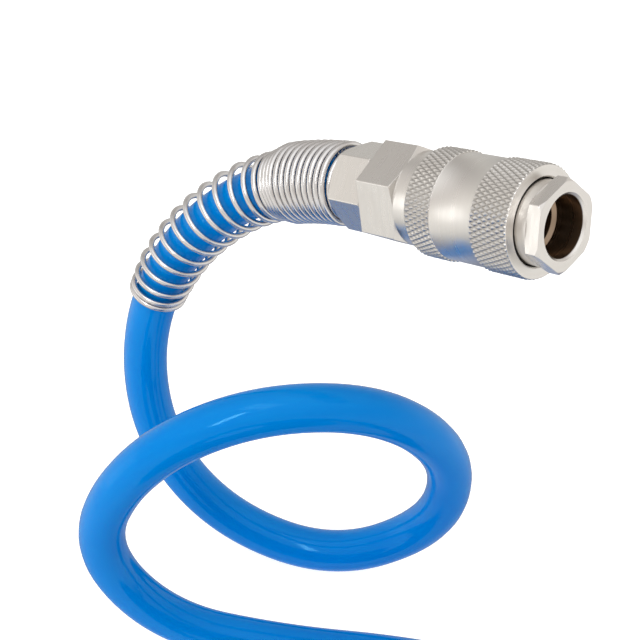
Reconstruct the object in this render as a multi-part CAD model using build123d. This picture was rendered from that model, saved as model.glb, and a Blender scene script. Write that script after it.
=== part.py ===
from build123d import *
import os
from math import cos, pi, radians, sin, tan

# Coiled polyurethane air hose, 8 x 12 mm, 5 m long, lying on its side.
# A quick-release socket is on the raised end and a plug on the other.
# Units are millimetres, +Z is up and the floor is Z = 0. The origin is the
# middle of the footprint. The coil's axis runs along Y.
#
# Each fitting is drawn about its own Z axis with its mouth or tip at Z = 0
# and its tail towards -Z, and is then placed on the hose's end.

# ---- hose ----
hose_radius = 6.0
hose_bore_radius = 4.0
coil_radius = 45.4
coil_pitch = 12.1
coil_points_per_turn = 12
coil_start_angle = 120.0
coil_turns = 14 + 150 / 360
coil_axis_x = -20.0
coil_axis_z = coil_radius + hose_radius
coil_start_y = 23.0

# The raised end, from inside the socket's nut to the closed coil.
lead_route = [
    (1.2, 131.9, 134.9),
    (-17.4, 148.4, 124.4),
    (-42.5, 150.5, 99.5),
    (-59.0, 146.0, 66.0),
    (-57.0, 133.0, 34.0),
    (-38.0, 121.0, 10.0),
    (-6.0, 111.0, 3.9),
    (23.0, 111.0, 23.0),
    (26.0, 111.0, 57.0),
    (6.0, 107.0, 85.0),
    (-27.0, 101.5, 92.0),
    (-56.0, 96.5, 76.0),
    (-70.0, 92.0, 45.0),
    (-53.0, 86.0, 14.0),
    (-20.5, 82.5, 6.2),
    (14.0, 79.0, 6.2),
    (36.0, 64.0, 25.0),
    (39.0, 48.0, 57.0),
    (24.0, 36.0, 81.0),
    (5.0, 29.0, 93.5),
    (-18.0, 25.5, 98.0),
]

# The low end, from the closed coil to inside the plug's nut.
tail_route = [
    (-20.0, -151.4, 6.1),
    (6.0, -154.0, 7.6),
    (33.0, -151.0, 6.6),
    (54.0, -134.0, 8.2),
    (62.0, -106.0, 9.7),
    (62.8, -76.0, 10.2),
    (62.6, -47.0, 10.1),
    (62.0, -19.0, 10.1),
    (62.0, 8.0, 10.1),
]

# ---- places of the two fittings ----
socket_mouth = (38.5, 99.0, 156.0)
socket_axis = (0.69, -0.61, 0.39)
socket_top = (0.296, 0.732, 0.614)
hose_end_in_socket = 54.0
plug_length_to_hose = 44.0
plug_tip = (tail_route[-1][0], tail_route[-1][1] + plug_length_to_hose, tail_route[-1][2])

# ---- hexagons ----
edge_rounding = 0.3

# ---- socket: nose tube ----
nose_hex_radius = 9.93
nose_hex_length = 3.2
nose_hex_roll = 21.0
nose_radius = 8.84
nose_waist_radius = 8.3
spigot_radius = 7.9
mouth_radius = 6.5
mouth_depth = 7.0
plug_bore_radius = 5.6
plug_bore_depth = 12.9
ball_bore_radius = 5.8
stem_bore_radius = 4.35
valve_chamber_radius = 7.0
valve_seat_z = -27.7

# ---- socket: sleeve and locking balls ----
sleeve_radius = 12.0
sleeve_band_radius = 11.55
sleeve_front_z = -5.7
sleeve_rear_z = -32.7
sleeve_band_front_z = -14.9
sleeve_band_rear_z = -25.9
sleeve_bore_radius = nose_radius + 0.08
sleeve_mouth_radius = nose_radius + 0.3
sleeve_chamber_radius = 10.53
sleeve_step_z = -17.6
ball_count = 6
ball_radius = 2.0
ball_ring_radius = 6.85
ball_z = -15.0
ball_hole_radius = ball_radius + 0.05
stop_ring_z = -12.7
stop_ring_thickness = 0.8

# ---- socket: body and hose nut ----
collar_radius = 10.45
collar_front_z = -31.0
body_hex_radius = 12.01
body_hex_front_z = -37.05
body_hex_rear_z = -47.3
body_hex_roll = 34.4
body_hex_chamfer = 0.7
hose_thread_radius = 7.5
hose_bore_through = 3.0
barb_radius = 4.3
barb_length = 8.0
guide_z = -41.8
guide_thickness = 1.6
nut_radius = 10.34
nut_length = 10.6
nut_gap = 0.4
nut_roll = 3.4

# ---- valve ----
poppet_head_radius = 6.3
poppet_head_rear_z = -30.2
poppet_head_front_z = -28.8
poppet_crown_radius = 3.95
poppet_crown_front_z = -24.8
poppet_stem_radius = 1.8

# ---- plug ----
plug_bore_through = 2.6
plug_stem_radius = 4.2
plug_collar_radius = 6.4
plug_hex_radius = 9.82
plug_hex_front_z = -29.2
plug_hex_rear_z = -37.2

# ---- bend guards ----
guard_wire = 1.5
guard_wide_radius = 9.9
guard_narrow_radius = 8.65
guard_shoulder_length = 6.0
plug_guard_length = 76.0
plug_guard_wide_length = 26.0


# ---- helpers ----

def turned(*outline):
    """Solid turned about Z from its (radius, z) corners."""
    corners = [(radius, 0, z) for radius, z in outline]
    return revolve(make_face(Polyline(*corners, close=True)), Axis.Z)


def hexagon(corner_radius, z_low, z_high, roll=0.0):
    """Hexagonal prism whose first corner is turned by roll degrees from X."""
    outline = RegularPolygon(radius=corner_radius, side_count=6, rotation=roll)
    outline = fillet(outline.vertices(), edge_rounding)
    return extrude(Pos(0, 0, z_low) * outline, amount=z_high - z_low)


def round_rod(radius, z_low, z_high):
    """Plain round bar about Z."""
    height = z_high - z_low
    bottom = (Align.CENTER, Align.CENTER, Align.MIN)
    return Pos(0, 0, z_low) * Cylinder(radius, height, align=bottom)


def o_ring(ring_radius, cord_radius, z):
    """Rubber ring about Z."""
    return Pos(0, 0, z) * Torus(ring_radius, cord_radius)


def wire_spring(mean_radius, wire_radius, z_low, z_high, turns):
    """Open compression spring about Z between two wire centres."""
    height = z_high - z_low
    line = Pos(0, 0, z_low) * Helix(pitch=height / turns, height=height, radius=mean_radius)
    section = Plane(line @ 0, z_dir=line % 0) * Circle(wire_radius)
    return sweep(section, path=line, is_frenet=True)


# ---- socket pieces ----

def make_nose_tube():
    """Front tube with the hexagonal mouth, ball holes and valve seat."""
    outside = turned(
        (0, -nose_hex_length),
        (nose_radius, -nose_hex_length),
        (nose_radius, -11.85),
        (nose_waist_radius, -11.85),
        (nose_waist_radius, -12.75),
        (nose_radius, -12.75),
        (nose_radius, -18.0),
        (nose_waist_radius, -18.4),
        (nose_waist_radius, collar_front_z),
        (spigot_radius, collar_front_z),
        (spigot_radius, -36.0),
        (0, -36.0),
    )
    head_rear_z = -nose_hex_length - 0.25
    corner_limit = turned(
        (0, 0.0),
        (nose_hex_radius - 0.75, 0.0),
        (nose_hex_radius, -0.6),
        (nose_hex_radius, -nose_hex_length + 0.3),
        (nose_radius - 0.1, head_rear_z),
        (0, head_rear_z),
    )
    head = hexagon(nose_hex_radius, head_rear_z, 0.0, nose_hex_roll) & corner_limit
    bore = turned(
        (0, 0.1),
        (mouth_radius + 0.5, 0.1),
        (mouth_radius + 0.5, 0.0),
        (mouth_radius, -0.5),
        (mouth_radius, -mouth_depth),
        (plug_bore_radius, -mouth_depth - 0.6),
        (plug_bore_radius, -plug_bore_depth),
        (ball_bore_radius, -plug_bore_depth),
        (ball_bore_radius, -20.4),
        (stem_bore_radius, -21.0),
        (stem_bore_radius, -22.8),
        (6.1, -22.8),
        (6.1, -25.0),
        (stem_bore_radius, -25.0),
        (stem_bore_radius, valve_seat_z),
        (valve_chamber_radius, valve_seat_z),
        (valve_chamber_radius, -36.1),
        (0, -36.1),
    )
    tube = outside + head - bore
    for hole in ball_holes():
        tube -= hole
    return tube


def ball_holes():
    """Radial holes for the locking balls, a little narrower at the bore."""
    holes = []
    for index in range(ball_count):
        turn = Rot(0, 0, index * 360 / ball_count) * Pos(0, 0, ball_z) * Rot(0, 90, 0)
        outer = Pos(0, 0, ball_ring_radius + 1.5) * Cylinder(ball_hole_radius, 3.0)
        inner = Pos(0, 0, ball_ring_radius - 1.0) * Cone(
            ball_hole_radius - 0.22, ball_hole_radius, 2.0
        )
        holes.append(turn * (outer + inner))
    return holes


def make_lock_ball(index):
    """One steel ball of the ring that holds the plug."""
    turn = Rot(0, 0, index * 360 / ball_count)
    return turn * Pos(ball_ring_radius, 0, ball_z) * Sphere(ball_radius)


def make_stop_ring():
    """Split snap ring that stops the sleeve from sliding forwards."""
    ring = turned(
        (nose_waist_radius + 0.03, stop_ring_z),
        (9.3, stop_ring_z),
        (9.3, stop_ring_z + stop_ring_thickness),
        (nose_waist_radius + 0.03, stop_ring_z + stop_ring_thickness),
    )
    split = Pos(0, nose_radius, stop_ring_z) * Box(1.6, 3.0, 3.0)
    return ring - split


def make_sleeve():
    """Sliding sleeve, with the release cone for the balls inside it."""
    return turned(
        (sleeve_mouth_radius + 0.3, sleeve_front_z),
        (sleeve_radius - 0.35, sleeve_front_z),
        (sleeve_radius, sleeve_front_z - 0.35),
        (sleeve_radius, sleeve_band_front_z),
        (sleeve_band_radius, sleeve_band_front_z - 0.2),
        (sleeve_band_radius, sleeve_band_rear_z + 0.2),
        (sleeve_radius, sleeve_band_rear_z),
        (sleeve_radius, sleeve_rear_z + 0.35),
        (sleeve_radius - 0.35, sleeve_rear_z),
        (sleeve_chamber_radius, sleeve_rear_z),
        (sleeve_chamber_radius, sleeve_step_z),
        (sleeve_bore_radius, sleeve_step_z),
        (sleeve_bore_radius, -15.14),
        (9.83, -10.35),
        (9.9, -10.0),
        (9.9, -7.5),
        (sleeve_mouth_radius, -7.5),
        (sleeve_mouth_radius, sleeve_front_z - 0.3),
    )


def make_sleeve_spring():
    """Spring that pushes the sleeve forwards over the balls."""
    return wire_spring(9.42, 0.55, -30.35, -18.25, 5)


def make_valve_poppet():
    """Valve head with a slotted crown that the plug's tip pushes."""
    head = turned(
        (0, poppet_head_rear_z),
        (poppet_head_radius, poppet_head_rear_z),
        (poppet_head_radius, poppet_head_front_z),
        (0, poppet_head_front_z),
    )
    crown = turned(
        (2.9, poppet_head_front_z - 0.1),
        (poppet_crown_radius, poppet_head_front_z - 0.1),
        (poppet_crown_radius, poppet_crown_front_z),
        (2.9, poppet_crown_front_z),
    )
    slot = Pos(0, 0, poppet_crown_front_z - 2.1) * Box(10.0, 2.2, 2.6)
    stem = round_rod(poppet_stem_radius, guide_z - 0.2, poppet_head_rear_z + 0.1)
    return head + (crown - slot - Rot(0, 0, 90) * slot) + stem


def make_valve_seal():
    """Flat rubber ring on the valve head."""
    return turned(
        (4.6, poppet_head_front_z),
        (6.1, poppet_head_front_z),
        (6.1, poppet_head_front_z + 0.9),
        (4.6, poppet_head_front_z + 0.9),
    )


def make_valve_spring():
    """Spring that closes the valve."""
    return wire_spring(3.4, 0.35, guide_z + guide_thickness + 0.37, poppet_head_rear_z - 0.37, 5)


def make_valve_guide():
    """Drilled disc that guides the valve's stem and holds its spring."""
    disc = turned(
        (poppet_stem_radius + 0.06, guide_z),
        (6.56, guide_z),
        (6.56, guide_z + guide_thickness),
        (poppet_stem_radius + 0.06, guide_z + guide_thickness),
    )
    for index in range(6):
        disc -= Rot(0, 0, index * 60) * Pos(4.9, 0, guide_z) * Cylinder(1.1, 6.0)
    return disc


def barbed_stub(thread_front_z, hose_start_z, bore_radius):
    """Threaded stub and barb that a hose is pushed on to."""
    tip_z = hose_start_z - barb_length
    return turned(
        (bore_radius, thread_front_z),
        (hose_thread_radius, thread_front_z),
        (hose_thread_radius, hose_start_z + 0.6),
        (hose_thread_radius - 0.6, hose_start_z),
        (hose_bore_radius - 0.05, hose_start_z),
        (hose_bore_radius - 0.05, hose_start_z - 2.0),
        (barb_radius, hose_start_z - 2.2),
        (hose_bore_radius - 0.05, hose_start_z - 4.6),
        (barb_radius, hose_start_z - 4.8),
        (hose_bore_radius - 0.4, tip_z),
        (bore_radius, tip_z),
    )


def make_body():
    """Rear body: round collar, spanner hexagon, valve chamber and barb."""
    outside = turned(
        (0, body_hex_front_z - 0.1),
        (collar_radius, body_hex_front_z - 0.1),
        (collar_radius, collar_front_z - 0.3),
        (collar_radius - 0.3, collar_front_z),
        (0, collar_front_z),
    )
    corner_limit = turned(
        (0, body_hex_front_z),
        (body_hex_radius * cos(pi / 6), body_hex_front_z),
        (body_hex_radius, body_hex_front_z - body_hex_chamfer),
        (body_hex_radius, body_hex_rear_z),
        (0, body_hex_rear_z),
    )
    outside += corner_limit & hexagon(
        body_hex_radius, body_hex_rear_z, body_hex_front_z, body_hex_roll
    )
    chamber = turned(
        (0, collar_front_z + 0.1),
        (spigot_radius + 0.04, collar_front_z + 0.1),
        (spigot_radius + 0.04, -32.4),
        (9.1, -32.4),
        (9.1, -34.2),
        (spigot_radius + 0.04, -34.2),
        (spigot_radius + 0.04, -36.3),
        (6.6, -36.3),
        (6.6, guide_z),
        (5.2, guide_z),
        (5.2, -44.0),
        (hose_bore_through, -45.5),
        (hose_bore_through, -48.0),
        (0, -48.0),
    )
    stub = barbed_stub(body_hex_rear_z + 0.1, -hose_end_in_socket, hose_bore_through)
    return outside - chamber + stub


def make_body_seal():
    """Rubber ring between the nose tube and the body."""
    return o_ring(8.5, 0.6, -33.3)


def make_plug_seal():
    """Rubber ring that seals on the plug's stem."""
    return o_ring(5.1, 0.95, -23.9)


def make_nut(front_z, roll):
    """Hexagonal nut that clamps the hose on its barb."""
    rear_z = front_z - nut_length
    bore = turned(
        (0, front_z + 0.1),
        (hose_thread_radius + 0.06, front_z + 0.1),
        (hose_thread_radius + 0.06, rear_z + 3.6),
        (hose_radius + 0.15, rear_z + 2.0),
        (hose_radius + 0.15, rear_z - 0.1),
        (0, rear_z - 0.1),
    )
    corner_limit = turned(
        (0, front_z),
        (nut_radius - 0.45, front_z),
        (nut_radius, front_z - 0.3),
        (nut_radius, rear_z + 1.35),
        (nut_radius - 2.3, rear_z),
        (0, rear_z),
    )
    return (hexagon(nut_radius, rear_z, front_z, roll) & corner_limit) - bore


# ---- plug pieces ----

def make_plug():
    """Male plug: stem, locking groove, collar, spanner hexagon and barb."""
    stem = turned(
        (plug_bore_through, 0.0),
        (plug_stem_radius - 0.6, 0.0),
        (plug_stem_radius, -0.7),
        (plug_stem_radius, -6.6),
        (5.5, -7.9),
        (5.5, -10.0),
        (4.75, -10.5),
        (4.75, -13.7),
        (5.5, -14.5),
        (5.5, -20.2),
        (plug_collar_radius, -20.6),
        (plug_collar_radius, -27.4),
        (7.6, -28.0),
        (7.6, plug_hex_front_z - 0.1),
        (plug_bore_through, plug_hex_front_z - 0.1),
    )
    corner_limit = turned(
        (0, plug_hex_front_z),
        (plug_hex_radius - 0.6, plug_hex_front_z),
        (plug_hex_radius, plug_hex_front_z - 0.4),
        (plug_hex_radius, plug_hex_rear_z + 0.4),
        (plug_hex_radius - 0.6, plug_hex_rear_z),
        (0, plug_hex_rear_z),
    )
    grip = hexagon(plug_hex_radius, plug_hex_rear_z, plug_hex_front_z) & corner_limit
    grip -= round_rod(plug_bore_through, plug_hex_rear_z - 1.0, plug_hex_front_z + 1.0)
    stub = barbed_stub(plug_hex_rear_z + 0.1, -plug_length_to_hose, plug_bore_through)
    return stem + grip + stub


# ---- hose pieces ----

def coil_point(index):
    """Corner of the coil's guiding polygon, counted from the raised end."""
    angle = radians(coil_start_angle + index * 360 / coil_points_per_turn)
    corner_radius = coil_radius / cos(pi / coil_points_per_turn)
    x = coil_axis_x + corner_radius * cos(angle)
    z = coil_axis_z + corner_radius * sin(angle)
    return (x, coil_start_y - coil_pitch * index / coil_points_per_turn, z)


def bend_radii(points):
    """Radius of each bend, as large as the two runs beside it allow."""
    radii = []
    for before, corner, after in zip(points, points[1:], points[2:]):
        run_in = Vector(corner) - Vector(before)
        run_out = Vector(after) - Vector(corner)
        half_turn = radians(run_in.get_angle(run_out)) / 2
        radii.append(0.45 * min(run_in.length, run_out.length) / tan(half_turn))
    return radii


def route_path(name, points):
    """Straight runs joined by tangent arcs, with the radii printed."""
    radii = bend_radii(points)
    print(name, "bend radii", [round(radius) for radius in radii])
    return FilletPolyline(*points, radius=radii)


def round_tube(path, outer_radius, inner_radius):
    """Round tube along a path."""
    section = Plane(path @ 0, z_dir=path % 0) * (Circle(outer_radius) - Circle(inner_radius))
    tube = sweep(section, path=path)
    wall = pi * (outer_radius**2 - inner_radius**2) * path.length
    print("tube volume", round(tube.volume), "section x length", round(wall))
    return tube


def make_hose_coil():
    """Closed coil as one ring of its outer shape."""
    length = coil_turns * coil_pitch
    ring = Circle(coil_axis_z) - Circle(coil_radius - hose_radius)
    back = Plane((coil_axis_x, coil_start_y, coil_axis_z), x_dir=(1, 0, 0), z_dir=(0, -1, 0))
    return extrude(back * ring, amount=length)


def make_hose_guard(path):
    """Bend guard as a bent sleeve, wide at the nut and narrower beyond."""
    nut_rear = nut_length + nut_gap - body_hex_rear_z - hose_end_in_socket
    edges = path.edges()
    start = edges[0].position_at(nut_rear, position_mode=PositionMode.LENGTH)
    wide_path = Wire([Edge.make_line(start, edges[0] @ 1), edges[1]])
    narrow_path = Wire(edges[2:5])
    wide = round_tube(wide_path, guard_wide_radius, guard_wide_radius - guard_wire)
    narrow = round_tube(narrow_path, guard_narrow_radius, guard_narrow_radius - guard_wire)
    return wide + narrow


def make_plug_guard():
    """Straight bend guard behind the plug's nut."""
    front_z = plug_hex_rear_z - nut_gap - nut_length
    wide_end_z = front_z - plug_guard_wide_length
    narrow_start_z = wide_end_z - guard_shoulder_length
    rear_z = front_z - plug_guard_length
    return turned(
        (guard_wide_radius - guard_wire, front_z),
        (guard_wide_radius, front_z),
        (guard_wide_radius, wide_end_z),
        (guard_narrow_radius, narrow_start_z),
        (guard_narrow_radius, rear_z),
        (guard_narrow_radius - guard_wire, rear_z),
        (guard_narrow_radius - guard_wire, narrow_start_z),
        (guard_wide_radius - guard_wire, wide_end_z),
    )


# ---- assembly ----

def place(plane, pieces):
    """Pieces moved from a fitting's own axes to their place."""
    return {name: plane.location * piece for name, piece in pieces.items()}


os.makedirs("parts", exist_ok=True)

socket_plane = Plane(socket_mouth, x_dir=socket_top, z_dir=socket_axis)
plug_plane = Plane(plug_tip, x_dir=(1, 0, 0), z_dir=(0, 1, 0))

socket_pieces = {
    "nose_tube": make_nose_tube(),
    "sleeve": make_sleeve(),
    "sleeve_spring": make_sleeve_spring(),
    "stop_ring": make_stop_ring(),
    "valve_poppet": make_valve_poppet(),
    "valve_seal": make_valve_seal(),
    "valve_spring": make_valve_spring(),
    "valve_guide": make_valve_guide(),
    "plug_seal": make_plug_seal(),
    "body": make_body(),
    "body_seal": make_body_seal(),
    "socket_nut": make_nut(body_hex_rear_z - nut_gap, nut_roll),
}
for number in range(ball_count):
    socket_pieces[f"lock_ball_{number + 1}"] = make_lock_ball(number)

plug_pieces = {
    "plug": make_plug(),
    "plug_nut": make_nut(plug_hex_rear_z - nut_gap, 0.0),
    "plug_bend_guard": make_plug_guard(),
}

lead_path = route_path("lead", lead_route + [coil_point(0), coil_point(1), coil_point(2)])
tail_path = route_path("tail", tail_route)

pieces = place(socket_plane, socket_pieces) | place(plug_plane, plug_pieces)
pieces["hose_lead"] = round_tube(lead_path, hose_radius, hose_bore_radius)
pieces["hose_coil"] = make_hose_coil()
pieces["hose_tail"] = round_tube(tail_path, hose_radius, hose_bore_radius)
pieces["socket_bend_guard"] = make_hose_guard(lead_path)

for name, piece in pieces.items():
    export_step(piece, f"parts/{name}.step")
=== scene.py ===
from math import ceil, cos, pi, radians, sin, tan, tau

import bpy
from mathutils import Matrix, Vector


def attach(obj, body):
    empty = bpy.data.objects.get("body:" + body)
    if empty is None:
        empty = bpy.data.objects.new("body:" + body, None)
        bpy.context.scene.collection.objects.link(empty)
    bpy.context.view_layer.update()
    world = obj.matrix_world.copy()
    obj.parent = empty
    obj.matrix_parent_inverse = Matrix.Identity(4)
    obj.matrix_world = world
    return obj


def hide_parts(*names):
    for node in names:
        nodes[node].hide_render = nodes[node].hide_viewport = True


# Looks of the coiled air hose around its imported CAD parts. Units are metres.
# Each fitting is drawn about its own Z axis with its mouth or tip at Z = 0 and
# its tail towards -Z, and is then placed on the hose's end.

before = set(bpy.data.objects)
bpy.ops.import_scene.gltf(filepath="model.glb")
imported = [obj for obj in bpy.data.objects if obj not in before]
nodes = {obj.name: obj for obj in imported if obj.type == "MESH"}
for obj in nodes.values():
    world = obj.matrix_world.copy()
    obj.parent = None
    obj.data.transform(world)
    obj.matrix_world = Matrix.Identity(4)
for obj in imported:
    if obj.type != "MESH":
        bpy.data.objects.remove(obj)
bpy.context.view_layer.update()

MM = 0.001

# ---- hose ----
HOSE_RADIUS = 6.0 * MM
HOSE_CURVE_STEPS = 12
HOSE_BEVEL_STEPS = 10
COIL_RADIUS = 45.4 * MM
COIL_PITCH = 12.1 * MM
COIL_POINTS_PER_TURN = 12
COIL_START_ANGLE = 120.0
COIL_TURNS = 14 + 150 / 360
COIL_AXIS_X = -20.0 * MM
COIL_AXIS_Z = COIL_RADIUS + HOSE_RADIUS
COIL_START_Y = 23.0 * MM

# The raised end, from inside the socket's nut to the closed coil.
LEAD_ROUTE = [
    (0.0012, 0.1319, 0.1349),
    (-0.0174, 0.1484, 0.1244),
    (-0.0452, 0.1520, 0.0990),
    (-0.0597, 0.1475, 0.0640),
    (-0.0573, 0.1335, 0.0330),
    (-0.0380, 0.1210, 0.0100),
    (-0.0060, 0.1110, 0.0039),
    (0.0230, 0.1110, 0.0230),
    (0.0260, 0.1110, 0.0570),
    (0.0060, 0.1070, 0.0850),
    (-0.0270, 0.1015, 0.0920),
    (-0.0560, 0.0965, 0.0760),
    (-0.0700, 0.0920, 0.0450),
    (-0.0530, 0.0860, 0.0140),
    (-0.0205, 0.0825, 0.0062),
    (0.0140, 0.0790, 0.0062),
    (0.0360, 0.0640, 0.0250),
    (0.0390, 0.0480, 0.0570),
    (0.0240, 0.0360, 0.0810),
    (0.0050, 0.0290, 0.0935),
    (-0.0180, 0.0255, 0.0980),
]

# The low end, from the closed coil to inside the plug's nut.
TAIL_ROUTE = [
    (-0.0200, -0.1514, 0.0061),
    (0.0060, -0.1540, 0.0076),
    (0.0330, -0.1510, 0.0066),
    (0.0540, -0.1340, 0.0082),
    (0.0620, -0.1060, 0.0097),
    (0.0628, -0.0760, 0.0102),
    (0.0626, -0.0470, 0.0101),
    (0.0620, -0.0190, 0.0101),
    (0.0620, 0.0080, 0.0101),
]

# ---- places of the two fittings ----
SOCKET_MOUTH = Vector((38.5, 99.0, 156.0)) * MM
SOCKET_AXIS = Vector((0.69, -0.61, 0.39)).normalized()
SOCKET_TOP = Vector((0.296, 0.732, 0.614))
SOCKET_NUT_REAR = 4.3 * MM
PLUG_TIP = Vector((62.0, 52.0, 10.1)) * MM
PLUG_AXIS = Vector((0.0, 1.0, 0.0))
PLUG_TOP = Vector((1.0, 0.0, 0.0))
PLUG_NUT_REAR = 4.2 * MM

# ---- bend guards: turns, pitch and the wire centre's radius at the stage's end ----
WIRE_RADIUS = 0.75 * MM
WIRE_BEVEL_STEPS = 4
WIDE = 9.15 * MM
NARROW = 7.9 * MM
GUARD_FIRST_RADIUS = 7.9 * MM
GUARD_STAGES = [
    (1.0, 0.0, GUARD_FIRST_RADIUS),
    (0.35, 2.43 * MM, WIDE),
    (9.19, 1.89 * MM, WIDE),
    (3.0, 1.50 * MM, NARROW),
    (1.0, 2.10 * MM, NARROW),
    (1.0, 3.40 * MM, NARROW),
    (1.0, 4.50 * MM, NARROW),
    (7.0, 5.25 * MM, 7.5 * MM),
    (1.0, 4.50 * MM, 7.3 * MM),
    (1.0, 3.50 * MM, 7.1 * MM),
    (1.2, 1.60 * MM, 7.0 * MM),
]
GUARD_FIRST_ANGLE = -121.6
WIRE_POINTS_PER_TURN = 36

# Points of a line that are closer than this count as one.
SAME_PLACE = 0.0001 * MM

# ---- sleeve ----
SLEEVE_RADIUS = 12.0 * MM
SLEEVE_FRONT_Z = -5.7 * MM
SLEEVE_REAR_Z = -32.7 * MM
SLEEVE_CHAMFER = 0.35 * MM
MOUTH_RADIUS = 9.14 * MM
MOUTH_CHAMFER = 0.3 * MM
BAND_RADIUS = 11.55 * MM
BAND_FRONT_Z = -14.85 * MM
BAND_REAR_Z = -25.95 * MM
BAND_STEP_LENGTH = 0.15 * MM
BAND_LIP_LENGTH = 0.08 * MM
BAND_LIP_HEIGHT = 0.03 * MM
CHAMBER_RADIUS = 10.53 * MM
CHAMBER_FRONT_Z = -17.6 * MM
LOCK_RADIUS = 8.92 * MM
LOCK_FRONT_Z = -15.14 * MM
CONE_FRONT_RADIUS = 9.83 * MM
CONE_FRONT_Z = -10.35 * MM
RELEASE_RADIUS = 9.9 * MM
RELEASE_REAR_Z = -10.0 * MM
RELEASE_FRONT_Z = -7.5 * MM
KNURL_COUNT = 62
KNURL_DEPTH = 0.34 * MM
KNURL_ANGLE = 28.0
KNURL_FLAT = 0.8
KNURL_FACETS = 8
KNURL_PITCH = tau * SLEEVE_RADIUS / KNURL_COUNT / tan(radians(KNURL_ANGLE))

# Edges sharper than these angles aren't shaded smooth.
TUBE_SHARP_ANGLE = 50.0
SLEEVE_SHARP_ANGLE = 25.0

# ---- colours ----
NICKEL_WARM = (0.74, 0.71, 0.675)
NICKEL_BRIGHT = (0.85, 0.835, 0.81)
NICKEL_BAND = (0.58, 0.555, 0.52)
# Painted shade for the bottoms of the knurl's grooves.
GROOVE_SHADE = (0.16, 0.15, 0.14)
# Bare brass tone for the bores, darkened with painted shade.
SHADED_BORE_LIGHT = (0.44, 0.33, 0.24)
SHADED_BORE_DARK = (0.26, 0.19, 0.13)
WIRE_WARM = (0.58, 0.55, 0.53)
WIRE_COOL = (0.82, 0.82, 0.83)
BALL_DARK = (0.62, 0.62, 0.63)
BALL_LIGHT = (0.80, 0.80, 0.81)
BRASS_DARK = (0.45, 0.28, 0.11)
BRASS_LIGHT = (0.68, 0.47, 0.20)
RUBBER_DARK = (0.012, 0.012, 0.013)
RUBBER_LIGHT = (0.035, 0.034, 0.033)
BLUE_DEEP = (0.0, 0.175, 0.56)
BLUE_BRIGHT = (0.0, 0.220, 0.62)
BLUE_SHEEN = (0.25, 0.80, 1.0)

# Inside these radii and behind the mouth, the bores get a bare brass tone darkened with painted shade.
SOCKET_BORE_RADIUS = 6.75 * MM
PLUG_BORE_RADIUS = 2.7 * MM
BORE_MOUTH_Z = -0.7 * MM

# ---- camera, staging and light ----
CAMERA_PLACE = (-0.010, -0.080, 0.3408)
CAMERA_TILT = 40.0
CAMERA_LENS = 73.125
CAMERA_SENSOR = 36.0
LIGHT_TARGET = (0.0, 0.09, 0.1)
FLOOR_SIZE = 8.0
BACKDROP_RADIUS = 3.5

# Colour of the studio from straight below (0) through the horizon (0.5) to straight above (1).
WORLD_STOPS = [
    (0.0, (0.52, 0.58, 0.74)),
    (0.06, (0.32, 0.34, 0.42)),
    (0.13, (0.50, 0.49, 0.48)),
    (0.28, (0.98, 0.96, 0.92)),
    (0.37, (0.95, 0.93, 0.90)),
    (0.50, (1.10, 1.07, 1.02)),
    (0.72, (0.74, 0.70, 0.67)),
    (1.0, (1.25, 1.25, 1.25)),
]

# The studio dims towards +Y, between these two values of the direction's Y.
BACK_STARTS = 0.35
BACK_ENDS = 0.85
BACK_STRENGTH = 0.62


# ---- helpers ----

def axes(place, axis, top):
    """Matrix from a fitting's own axes to the scene's."""
    x = (top - top.dot(axis) * axis).normalized()
    y = axis.cross(x)
    return Matrix.Translation(place) @ Matrix((x, y, axis)).transposed().to_4x4()


SOCKET = axes(SOCKET_MOUTH, SOCKET_AXIS, SOCKET_TOP)
PLUG = axes(PLUG_TIP, PLUG_AXIS, PLUG_TOP)


def link(name, data):
    """New object in the scene."""
    made = bpy.data.objects.new(name, data)
    bpy.context.scene.collection.objects.link(made)
    return made


def paint(piece, material):
    """Gives a piece one material."""
    piece.data.materials.clear()
    piece.data.materials.append(material)


def mesh_of(piece):
    """Mesh of a piece as it stands in the scene."""
    bpy.context.view_layer.update()
    return bpy.data.meshes.new_from_object(piece.evaluated_get(bpy.context.evaluated_depsgraph_get()))


# ---- hose ----

def coil_point(index):
    """Corner of the coil's guiding polygon, counted from the raised end."""
    angle = radians(COIL_START_ANGLE + index * 360 / COIL_POINTS_PER_TURN)
    corner_radius = COIL_RADIUS / cos(pi / COIL_POINTS_PER_TURN)
    x = COIL_AXIS_X + corner_radius * cos(angle)
    z = COIL_AXIS_Z + corner_radius * sin(angle)
    return (x, COIL_START_Y - COIL_PITCH * index / COIL_POINTS_PER_TURN, z)


def make_route():
    """The hose's line from the socket to the plug, as a smooth curve."""
    turns = [coil_point(i) for i in range(round(COIL_TURNS * COIL_POINTS_PER_TURN))]
    points = LEAD_ROUTE + turns + TAIL_ROUTE
    curve = bpy.data.curves.new("air_hose", "CURVE")
    curve.dimensions = "3D"
    curve.resolution_u = HOSE_CURVE_STEPS
    spline = curve.splines.new("NURBS")
    spline.points.add(len(points) - 1)
    for control, place in zip(spline.points, points):
        control.co = (*place, 1.0)
    spline.order_u = 3
    spline.use_endpoint_u = True
    return link("air_hose", curve)


def centreline(route):
    """Points of a curve that has no bevel yet."""
    mesh = mesh_of(route)
    points = [vertex.co.copy() for vertex in mesh.vertices]
    bpy.data.meshes.remove(mesh)
    return points


def tube_mesh(curve, radius, resolution):
    """Swaps a curve for a closed tube mesh along it."""
    curve.data.bevel_depth = radius
    curve.data.bevel_resolution = resolution
    curve.data.use_fill_caps = True
    mesh = mesh_of(curve)
    name = curve.name
    bpy.data.objects.remove(curve)
    mesh.shade_smooth()
    mesh.set_sharp_from_angle(angle=radians(TUBE_SHARP_ANGLE))
    return link(name, mesh)


route = make_route()
hose_line = centreline(route)
hose = tube_mesh(route, HOSE_RADIUS, HOSE_BEVEL_STEPS)
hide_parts("hose_lead", "hose_coil", "hose_tail")
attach(hose, "hose")


# ---- bend guards ----

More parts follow.
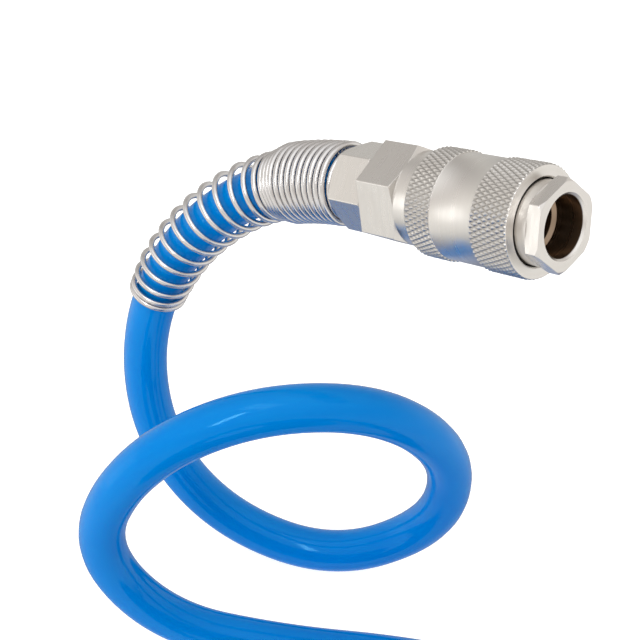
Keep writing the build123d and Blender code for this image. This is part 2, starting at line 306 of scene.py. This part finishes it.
def line_frames(points):
    """Distance, place, direction and side along a line, without any twist."""
    tangent = (points[1] - points[0]).normalized()
    side = tangent.orthogonal().normalized()
    distance = 0.0
    frames = [(distance, points[0], tangent, side)]
    for before, place in zip(points, points[1:]):
        step = place - before
        if step.length < SAME_PLACE:
            continue
        distance += step.length
        turn = tangent.rotation_difference(step)
        tangent = step.normalized()
        side = (turn @ side).normalized()
        frames.append((distance, place, tangent, side))
    return frames


def frame_at(frames, distance, start=0):
    """Place, tangent and side at a distance, with the index where it was found."""
    while start < len(frames) - 2 and frames[start + 1][0] < distance:
        start += 1
    low, high = frames[start], frames[start + 1]
    share = (distance - low[0]) / (high[0] - low[0])
    blended = [a.lerp(b, share) for a, b in zip(low[1:], high[1:])]
    return blended[0], blended[1].normalized(), blended[2].normalized(), start


def guard_line(frames, start):
    """Points of the guard's wire round the hose's line."""
    points = []
    angle = radians(GUARD_FIRST_ANGLE)
    distance = start + WIRE_RADIUS
    radius = GUARD_FIRST_RADIUS
    index = 0
    for turns, pitch, end_radius in GUARD_STAGES:
        steps = round(turns * WIRE_POINTS_PER_TURN)
        growth = (end_radius - radius) / steps
        for _ in range(steps):
            place, tangent, side, index = frame_at(frames, distance, index)
            across = tangent.cross(side)
            points.append(place + radius * (cos(angle) * side + sin(angle) * across))
            angle += tau / WIRE_POINTS_PER_TURN
            distance += pitch / WIRE_POINTS_PER_TURN
            radius += growth
    return points


def make_wire(name, points, material):
    """Round wire along points."""
    curve = bpy.data.curves.new(name, "CURVE")
    curve.dimensions = "3D"
    spline = curve.splines.new("POLY")
    spline.points.add(len(points) - 1)
    for control, place in zip(spline.points, points):
        control.co = (*place, 1.0)
    wire = tube_mesh(link(name, curve), WIRE_RADIUS, WIRE_BEVEL_STEPS)
    paint(wire, material)
    return wire


# ---- sleeve ----

def ramp(turns):
    """0 at whole turns and 1 halfway between them."""
    return 1 - abs(2 * (turns % 1.0) - 1)


def knurl_height(turn, z):
    """Height of the diamond knurl, from 0 in a groove to 1 on a flat top."""
    around = turn * KNURL_COUNT
    along = z / KNURL_PITCH
    return min(ramp(around + along), ramp(around - along), KNURL_FLAT) / KNURL_FLAT


def knurled_rows(z_front, z_rear):
    """Rows of a knurled band, at most one facet of the diamonds apart."""
    length = z_front - z_rear
    count = ceil(length / (KNURL_PITCH / KNURL_FACETS))
    return [(SLEEVE_RADIUS, z_front - length * i / count, KNURL_DEPTH) for i in range(count + 1)]


def sleeve_rows():
    """Closed outline of the sleeve as (radius, z, knurl depth), from the front face round."""
    edge_radius = SLEEVE_RADIUS - SLEEVE_CHAMFER
    front = [
        (MOUTH_RADIUS + MOUTH_CHAMFER, SLEEVE_FRONT_Z, 0.0),
        (edge_radius - SLEEVE_CHAMFER, SLEEVE_FRONT_Z, 0.0),
        (edge_radius, SLEEVE_FRONT_Z, 0.0),
    ]
    band = [
        (BAND_RADIUS + BAND_LIP_HEIGHT, BAND_FRONT_Z - BAND_LIP_LENGTH, 0.0),
        (BAND_RADIUS, BAND_FRONT_Z - BAND_STEP_LENGTH, 0.0),
        (BAND_RADIUS, (BAND_FRONT_Z + BAND_REAR_Z) / 2, 0.0),
        (BAND_RADIUS, BAND_REAR_Z + BAND_STEP_LENGTH, 0.0),
        (BAND_RADIUS + BAND_LIP_HEIGHT, BAND_REAR_Z + BAND_LIP_LENGTH, 0.0),
    ]
    rear_and_inside = [
        (edge_radius, SLEEVE_REAR_Z, 0.0),
        (CHAMBER_RADIUS, SLEEVE_REAR_Z, 0.0),
        (CHAMBER_RADIUS, CHAMBER_FRONT_Z, 0.0),
        (LOCK_RADIUS, CHAMBER_FRONT_Z, 0.0),
        (LOCK_RADIUS, LOCK_FRONT_Z, 0.0),
        (CONE_FRONT_RADIUS, CONE_FRONT_Z, 0.0),
        (RELEASE_RADIUS, RELEASE_REAR_Z, 0.0),
        (RELEASE_RADIUS, RELEASE_FRONT_Z, 0.0),
        (MOUTH_RADIUS, RELEASE_FRONT_Z, 0.0),
        (MOUTH_RADIUS, SLEEVE_FRONT_Z - MOUTH_CHAMFER, 0.0),
    ]
    front_knurl = knurled_rows(SLEEVE_FRONT_Z - SLEEVE_CHAMFER, BAND_FRONT_Z)
    rear_knurl = knurled_rows(BAND_REAR_Z, SLEEVE_REAR_Z + SLEEVE_CHAMFER)
    return front + front_knurl + band + rear_knurl + rear_and_inside


def make_sleeve(material):
    """Sleeve turned about the socket's axis, with two knurled bands."""
    rows = sleeve_rows()
    segments = KNURL_COUNT * KNURL_FACETS
    places = []
    heights = []
    for radius, z, depth in rows:
        for segment in range(segments):
            turn = segment / segments
            height = knurl_height(turn, z) if depth else 1.0
            reach = radius - depth * (1 - height)
            places.append(SOCKET @ Vector((reach * cos(tau * turn), reach * sin(tau * turn), z)))
            heights.append(height)
    faces = []
    for row in range(len(rows)):
        below = (row + 1) % len(rows)
        for segment in range(segments):
            beside = (segment + 1) % segments
            a, b = row * segments + segment, row * segments + beside
            c, d = below * segments + beside, below * segments + segment
            if heights[a] + heights[c] < heights[b] + heights[d]:
                faces += [(a, c, b), (a, d, c)]
            else:
                faces += [(a, d, b), (b, d, c)]
    mesh = bpy.data.meshes.new("knurled_sleeve")
    mesh.from_pydata(places, [], faces)
    mesh.shade_smooth()
    mesh.set_sharp_from_angle(angle=radians(SLEEVE_SHARP_ANGLE))
    # Depth of the knurl's grooves, which the nickel material darkens as painted shade.
    groove = mesh.attributes.new("groove", "FLOAT", "POINT")
    groove.data.foreach_set("value", [1 - height for height in heights])
    sleeve = link("knurled_sleeve", mesh)
    paint(sleeve, material)
    return sleeve


# ---- materials ----

# Places of the Mix node's colour sockets, whose names its other kinds of socket share.
MIX_LOW = 6
MIX_HIGH = 7
MIX_RESULT = 2


def new_material(name):
    """Node material with its Principled shader, and a function that adds nodes to it."""
    material = bpy.data.materials.new(name)
    material.use_nodes = True
    tree = material.node_tree

    def add(kind, inputs=(), **settings):
        node = tree.nodes.new(kind)
        for key, value in settings.items():
            setattr(node, key, value)
        for socket, value in dict(inputs).items():
            if isinstance(value, bpy.types.NodeSocket):
                tree.links.new(value, node.inputs[socket])
            else:
                node.inputs[socket].default_value = value
        return node

    return material, tree.nodes["Principled BSDF"], add


def drive(shader, socket, source):
    """Links a node's output to one of the shader's sockets."""
    shader.id_data.links.new(source, shader.inputs[socket])


def object_place(add):
    """Place in the object's own coordinates."""
    return add("ShaderNodeTexCoord").outputs["Object"]


def noise(add, place, scale, detail, **inputs):
    """Noise from 0 to 1 at a place."""
    inputs = {"Vector": place, "Scale": scale, "Detail": detail} | inputs
    return add("ShaderNodeTexNoise", inputs).outputs["Fac"]


def maths(add, operation, first, second):
    """Result of a maths node with two values."""
    return add("ShaderNodeMath", {0: first, 1: second}, operation=operation).outputs["Value"]


def bump(add, height, strength, distance, **inputs):
    """Normal roughened by a height. Another normal to start from can be given."""
    inputs = {"Strength": strength, "Distance": distance, "Height": height} | inputs
    return add("ShaderNodeBump", inputs).outputs["Normal"]


def between(add, share, low, high):
    """Value from low to high as share goes from 0 to 1."""
    return add("ShaderNodeMapRange", {"Value": share, "To Min": low, "To Max": high}).outputs["Result"]


def mix_colour(add, share, low, high):
    """Colour from low to high as share goes from 0 to 1."""
    mix = add("ShaderNodeMix", {"Factor": share}, data_type="RGBA")
    for socket, value in ((MIX_LOW, low), (MIX_HIGH, high)):
        if isinstance(value, bpy.types.NodeSocket):
            mix.id_data.links.new(value, mix.inputs[socket])
        else:
            mix.inputs[socket].default_value = (*value, 1)
    return mix.outputs[MIX_RESULT]


def own_axes(add, fitting):
    """Place in a fitting's own axes."""
    inputs = {
        "Vector": object_place(add),
        "Location": fitting.translation,
        "Rotation": fitting.to_euler(),
    }
    return add("ShaderNodeMapping", inputs, vector_type="TEXTURE").outputs["Vector"]


def turned_coordinates(add, place):
    """Radius and height of a place in a fitting as one vector, and each as a value."""
    parts = add("ShaderNodeSeparateXYZ", {"Vector": place}).outputs
    flat = add("ShaderNodeCombineXYZ", {"X": parts["X"], "Y": parts["Y"]}).outputs["Vector"]
    radius = add("ShaderNodeVectorMath", {0: flat}, operation="LENGTH").outputs["Value"]
    height = parts["Z"]
    turned = add("ShaderNodeCombineXYZ", {"X": radius, "Y": height}).outputs["Vector"]
    return turned, radius, height


def make_nickel(name, fitting, bore_radius):
    """Satin nickel plate with lathe marks and painted shade in the knurl's grooves, on a bare brass
    tone darkened with painted shade inside the bore.
    """
    material, shader, add = new_material(name)
    place = own_axes(add, fitting)
    turned, radius, height = turned_coordinates(add, place)
    marks = noise(add, turned, scale=5200.0, detail=3.0, Roughness=0.7)
    bands = noise(add, turned, scale=900.0, detail=2.0)
    clouds = noise(add, place, scale=110.0, detail=3.0)
    grain = noise(add, place, scale=2600.0, detail=4.0)

    plate = mix_colour(add, clouds, NICKEL_WARM, NICKEL_BRIGHT)
    plate = mix_colour(add, between(add, bands, 0.0, 0.35), plate, NICKEL_BAND)
    groove = add("ShaderNodeAttribute", attribute_name="groove").outputs["Fac"]
    # Painted shade: the plate darkens towards GROOVE_SHADE in the knurl's grooves, by their depth.
    plate = mix_colour(add, between(add, groove, 0.0, 0.5), plate, GROOVE_SHADE)
    # Painted shade: inside the bore the plate gives way to a darkened bare brass tone.
    inside = maths(add, "LESS_THAN", radius, bore_radius)
    deep = maths(add, "LESS_THAN", height, BORE_MOUTH_Z)
    shaded_bore_mask = maths(add, "MULTIPLY", inside, deep)
    shaded_brass = mix_colour(add, bands, SHADED_BORE_LIGHT, SHADED_BORE_DARK)
    drive(shader, "Base Color", mix_colour(add, shaded_bore_mask, plate, shaded_brass))

    shader.inputs["Metallic"].default_value = 1.0
    drive(shader, "Roughness", between(add, bands, 0.20, 0.38))
    rounded = add("ShaderNodeBevel", {"Radius": 0.18 * MM}, samples=4).outputs["Normal"]
    fine = bump(add, grain, strength=0.06, distance=0.02 * MM, Normal=rounded)
    drive(shader, "Normal", bump(add, marks, strength=0.16, distance=0.015 * MM, Normal=fine))
    return material


def make_wire_steel():
    """Drawn spring wire, bright with faint warm and cool patches."""
    material, shader, add = new_material("spring_steel")
    place = object_place(add)
    patches = noise(add, place, scale=260.0, detail=3.0)
    grain = noise(add, place, scale=3200.0, detail=4.0)
    drive(shader, "Base Color", mix_colour(add, patches, WIRE_WARM, WIRE_COOL))
    shader.inputs["Metallic"].default_value = 1.0
    drive(shader, "Roughness", between(add, patches, 0.16, 0.32))
    drive(shader, "Normal", bump(add, grain, strength=0.2, distance=0.01 * MM))
    return material


def make_plain_metal(name, dark, light, roughness):
    """Metal with a soft change of tone and shine."""
    material, shader, add = new_material(name)
    clouds = noise(add, object_place(add), scale=400.0, detail=4.0)
    drive(shader, "Base Color", mix_colour(add, clouds, dark, light))
    shader.inputs["Metallic"].default_value = 1.0
    drive(shader, "Roughness", between(add, clouds, roughness * 0.7, roughness * 1.3))
    return material


def make_rubber():
    """Black nitrile rubber with a moulded grain."""
    material, shader, add = new_material("rubber")
    grain = noise(add, object_place(add), scale=1800.0, detail=5.0)
    drive(shader, "Base Color", mix_colour(add, grain, RUBBER_DARK, RUBBER_LIGHT))
    drive(shader, "Roughness", between(add, grain, 0.45, 0.7))
    drive(shader, "Normal", bump(add, grain, strength=0.3, distance=0.03 * MM))
    return material


def make_polyurethane():
    """Glossy blue polyurethane that lets a little light through."""
    material, shader, add = new_material("blue_polyurethane")
    place = object_place(add)
    clouds = noise(add, place, scale=28.0, detail=2.0)
    grain = noise(add, place, scale=420.0, detail=3.0)
    drive(shader, "Base Color", mix_colour(add, clouds, BLUE_DEEP, BLUE_BRIGHT))
    drive(shader, "Roughness", between(add, grain, 0.05, 0.13))
    shader.inputs["IOR"].default_value = 1.5
    shader.inputs["Specular IOR Level"].default_value = 0.35
    shader.inputs["Specular Tint"].default_value = (*BLUE_SHEEN, 1)
    shader.inputs["Subsurface Weight"].default_value = 0.35
    shader.inputs["Subsurface Radius"].default_value = (0.2, 0.7, 1.0)
    shader.inputs["Subsurface Scale"].default_value = 4.0 * MM
    drive(shader, "Normal", bump(add, grain, strength=0.04, distance=0.05 * MM))
    return material


socket_nickel = make_nickel("nickel_plate_socket", SOCKET, SOCKET_BORE_RADIUS)
plug_nickel = make_nickel("nickel_plate_plug", PLUG, PLUG_BORE_RADIUS)
wire_steel = make_wire_steel()
ball_steel = make_plain_metal("ball_steel", BALL_DARK, BALL_LIGHT, 0.10)
brass = make_plain_metal("brass", BRASS_DARK, BRASS_LIGHT, 0.28)
rubber = make_rubber()

paint(hose, make_polyurethane())
for name in ("nose_tube", "body", "socket_nut"):
    paint(nodes[name], socket_nickel)
for name in ("plug", "plug_nut"):
    paint(nodes[name], plug_nickel)
for name in ("sleeve_spring", "valve_spring", "stop_ring"):
    paint(nodes[name], wire_steel)
for name in ("valve_poppet", "valve_guide"):
    paint(nodes[name], brass)
for name in ("plug_seal", "body_seal", "valve_seal"):
    paint(nodes[name], rubber)
for number in range(1, 7):
    paint(nodes[f"lock_ball_{number}"], ball_steel)

sleeve = make_sleeve(socket_nickel)
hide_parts("sleeve")
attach(sleeve, "sleeve")

socket_frames = line_frames(hose_line)
plug_frames = line_frames(hose_line[::-1])
socket_guard = make_wire("socket_guard_wire", guard_line(socket_frames, SOCKET_NUT_REAR), wire_steel)
plug_guard = make_wire("plug_guard_wire", guard_line(plug_frames, PLUG_NUT_REAR), wire_steel)
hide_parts("socket_bend_guard")
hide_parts("plug_bend_guard")
for guard in (socket_guard, plug_guard):
    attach(guard, "hose")


# ---- camera, staging and light ----

def softbox(name, place, size, radiance, mirrored=True):
    """Large area light aimed at LIGHT_TARGET, which polished faces may or may not mirror."""
    light = bpy.data.lights.new(name, "AREA")
    light.shape = "RECTANGLE"
    light.size, light.size_y = size
    light.energy = radiance * pi * light.size * light.size_y
    lamp = link(name, light)
    lamp.visible_glossy = mirrored
    lamp.location = place
    direction = Vector(LIGHT_TARGET) - Vector(place)
    lamp.rotation_euler = direction.to_track_quat("-Z", "Y").to_euler()


def white_stage(piece, name, colour, glow):
    """White staging surface that polished faces don't mirror."""
    material, shader, _ = new_material(name)
    shader.inputs["Base Color"].default_value = (colour, colour, colour, 1)
    shader.inputs["Roughness"].default_value = 1.0
    shader.inputs["Specular IOR Level"].default_value = 0.0
    shader.inputs["Emission Color"].default_value = (1, 1, 1, 1)
    shader.inputs["Emission Strength"].default_value = glow
    piece.name = name
    piece.visible_glossy = False
    paint(piece, material)


def make_world():
    """Soft studio: bright at the sides and overhead, dimmer behind, blue-grey below."""
    world = bpy.data.worlds.new("studio")
    bpy.context.scene.world = world
    world.use_nodes = True
    tree = world.node_tree
    direction = tree.nodes.new("ShaderNodeTexCoord").outputs["Generated"]
    parts = tree.nodes.new("ShaderNodeSeparateXYZ")
    tree.links.new(direction, parts.inputs["Vector"])
    height = tree.nodes.new("ShaderNodeMapRange")
    height.inputs["From Min"].default_value = -1.0
    tree.links.new(parts.outputs["Z"], height.inputs["Value"])
    shades = tree.nodes.new("ShaderNodeValToRGB")
    tree.links.new(height.outputs["Result"], shades.inputs["Fac"])
    stops = shades.color_ramp.elements
    stops[0].position, stops[0].color = WORLD_STOPS[0][0], (*WORLD_STOPS[0][1], 1)
    stops[1].position, stops[1].color = WORLD_STOPS[-1][0], (*WORLD_STOPS[-1][1], 1)
    for position, colour in WORLD_STOPS[1:-1]:
        stops.new(position).color = (*colour, 1)
    behind = tree.nodes.new("ShaderNodeMapRange")
    behind.inputs["From Min"].default_value = BACK_STARTS
    behind.inputs["From Max"].default_value = BACK_ENDS
    behind.inputs["To Min"].default_value = 1.0
    behind.inputs["To Max"].default_value = BACK_STRENGTH
    tree.links.new(parts.outputs["Y"], behind.inputs["Value"])
    background = tree.nodes["Background"]
    tree.links.new(shades.outputs["Color"], background.inputs["Color"])
    tree.links.new(behind.outputs["Result"], background.inputs["Strength"])


camera = link("camera", bpy.data.cameras.new("camera"))
camera.data.sensor_width = CAMERA_SENSOR
camera.data.lens = CAMERA_LENS
camera.data.clip_start = 0.01
camera.location = CAMERA_PLACE
camera.rotation_euler = (radians(CAMERA_TILT), 0.0, 0.0)
bpy.context.scene.camera = camera

bpy.ops.mesh.primitive_plane_add(size=FLOOR_SIZE, location=(0, 0, 0))
white_stage(bpy.context.object, "floor", colour=0.6, glow=0.75)

bpy.ops.mesh.primitive_uv_sphere_add(radius=BACKDROP_RADIUS, segments=64, ring_count=32)
backdrop = bpy.context.object
white_stage(backdrop, "backdrop", colour=0.0, glow=1.0)
backdrop.visible_diffuse = False
backdrop.visible_transmission = False
backdrop.visible_shadow = False

softbox("left_softbox", (-0.9, 0.02, 0.12), (0.45, 0.35), radiance=0.5)
softbox("top_softbox", (-0.1, 0.0, 1.1), (0.5, 0.25), radiance=1.5)
softbox("strip_light", (-0.3, -0.35, 0.85), (0.10, 0.40), radiance=9.0)
softbox("key_light", (-0.7, -0.4, 0.8), (0.5, 0.5), radiance=3.4, mirrored=False)

make_world()
bpy.context.scene.view_settings.view_transform = "Standard"

bpy.context.view_layer.update()
